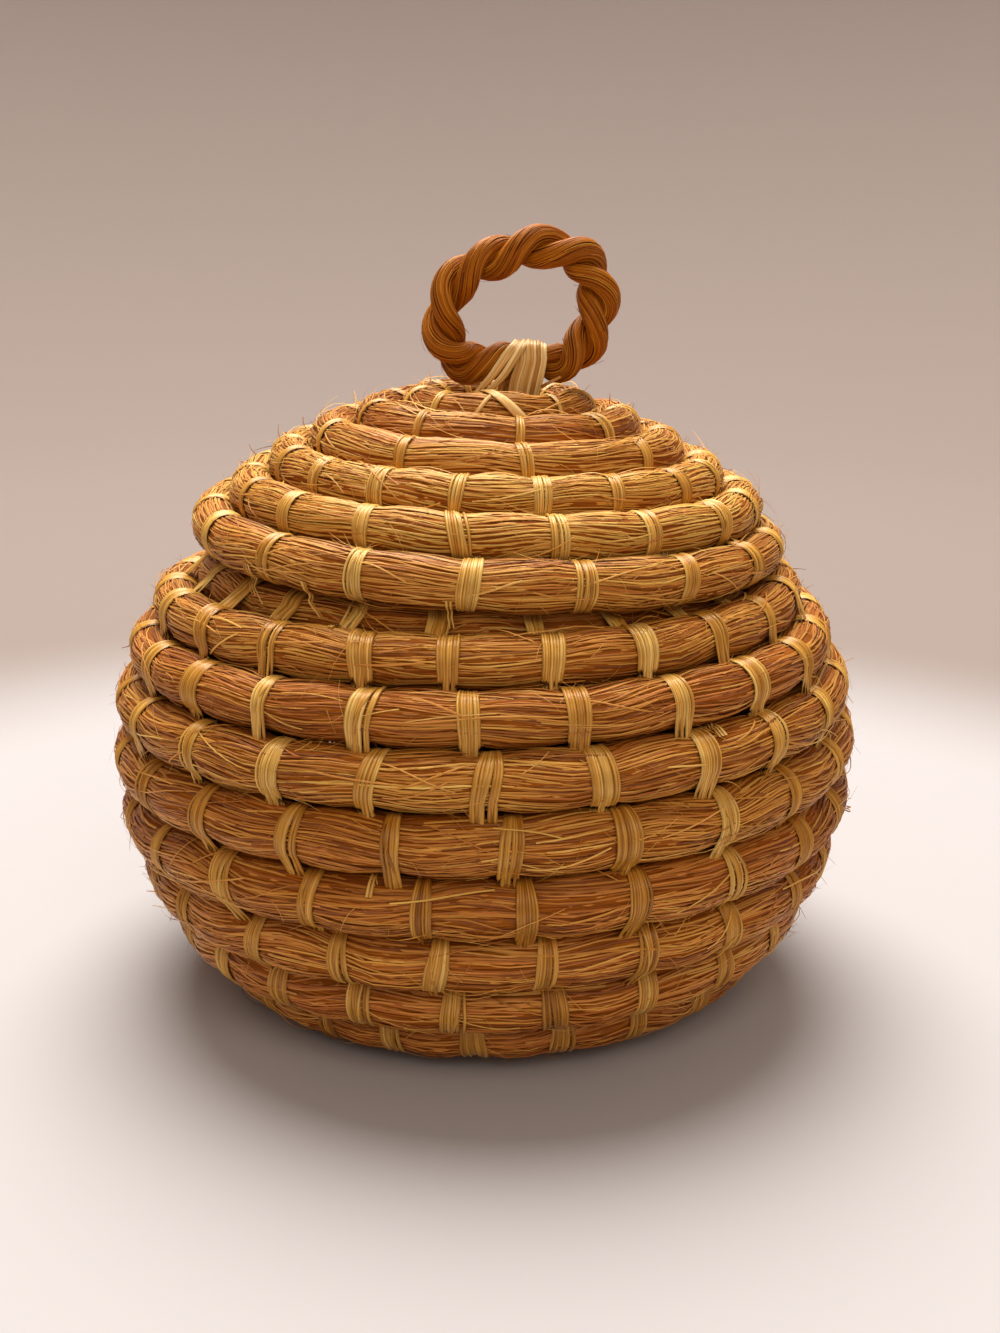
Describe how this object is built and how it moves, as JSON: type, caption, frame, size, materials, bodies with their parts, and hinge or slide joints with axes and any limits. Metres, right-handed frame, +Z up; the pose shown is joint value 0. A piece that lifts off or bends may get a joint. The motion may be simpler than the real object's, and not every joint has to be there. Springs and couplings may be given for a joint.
{
  "type": "lidded coiled basket",
  "caption": "Round lidded basket coiled from one long bundle of grass, sewn with pale strands, with a loose domed lid and a rope ring to lift it by.",
  "frame": {"origin": "middle of the flat that the basket stands on", "axes": "+Z up along the basket's axis; the rope ring's hinge lies along X, so -Y faces the viewer of the picture"},
  "size_m": [0.1713, 0.1715, 0.1738],
  "materials": {
    "grass": "dry golden brown grass bundle",
    "strand": "pale dry sewing strand, slight sheen",
    "rope": "dark orange brown twisted fibre",
    "raffia": "pale raffia, matt"
  },
  "bodies": {
    "basket": {"body_coil": "grass", "body_stitches_01": "strand", "body_stitches_02": "strand", "body_stitches_03": "strand", "body_stitches_04": "strand", "body_stitches_05": "strand", "body_stitches_06": "strand", "body_stitches_07": "strand", "body_stitches_08": "strand", "body_stitches_09": "strand", "body_stitches_10": "strand", "body_stitches_11": "strand", "body_stitches_12": "strand", "body_stitches_13": "strand", "body_stitches_14": "strand", "body_stitches_15": "strand", "body_stitches_16": "strand", "body_stitches_17": "strand", "body_stitches_18": "strand", "body_stitches_19": "strand", "body_stitches_20": "strand", "body_stitches_21": "strand", "body_stitches_22": "strand", "body_stitches_23": "strand"},
    "lid": {"lid_coil": "grass", "lid_stitches_01": "strand", "lid_stitches_02": "strand", "lid_stitches_03": "strand", "lid_stitches_04": "strand", "lid_stitches_05": "strand", "lid_stitches_06": "strand", "lid_stitches_07": "strand", "lid_stitches_08": "strand", "lid_stitches_09": "strand", "lid_stitches_10": "strand", "lid_stitches_11": "strand", "lid_stitches_12": "strand", "lid_stitches_13": "strand", "lid_stitches_14": "strand", "lid_stitches_15": "strand", "lid_stitches_16": "strand", "lid_stitches_17": "strand", "lid_stitches_18": "strand", "handle_binding": "raffia", "binding_knot": "raffia"},
    "handle": {"handle_rope": "rope"}
  },
  "joints": [
    {"name": "lid_lift", "type": "slide", "parent": "basket", "child": "lid", "axis": [0, 0, 1], "range_m": [0, 0.12]},
    {"name": "handle_swing", "type": "hinge", "parent": "lid", "child": "handle", "pos_m": [0.006, 0, 0.143], "axis": [1, 0, 0], "range_deg": [-85, 85]}
  ]
}
